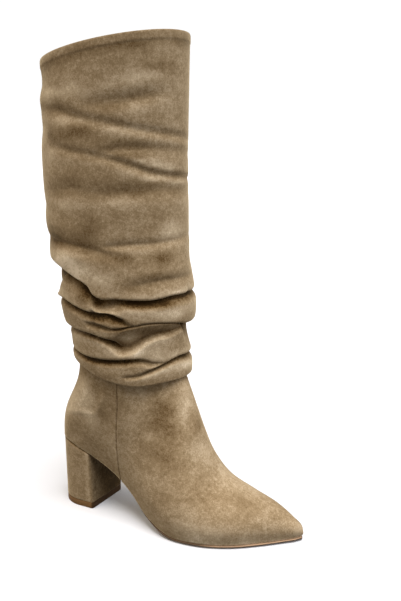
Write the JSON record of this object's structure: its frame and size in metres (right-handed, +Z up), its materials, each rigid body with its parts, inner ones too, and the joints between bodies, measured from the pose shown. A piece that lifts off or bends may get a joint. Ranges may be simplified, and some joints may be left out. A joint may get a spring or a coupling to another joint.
{
  "type": "slouch boot",
  "caption": "Knee-high suede slouch boot for the right foot, with a pointed toe, a block heel and a tall shaft that folds over the ankle.",
  "frame": {"origin": "middle of the heel's base on the floor", "axes": "+X towards the toe, +Y towards the inner side of the foot, +Z up"},
  "size_m": [0.2568, 0.1182, 0.448],
  "materials": {
    "suede": "napped suede",
    "board": "matt",
    "sole": "satin",
    "top_piece": "matt"
  },
  "bodies": {
    "root": {"upper": "suede", "shaft": "suede", "heel": "suede", "insole": "board", "outsole": "sole", "top_piece": "top_piece"}
  },
  "joints": []
}
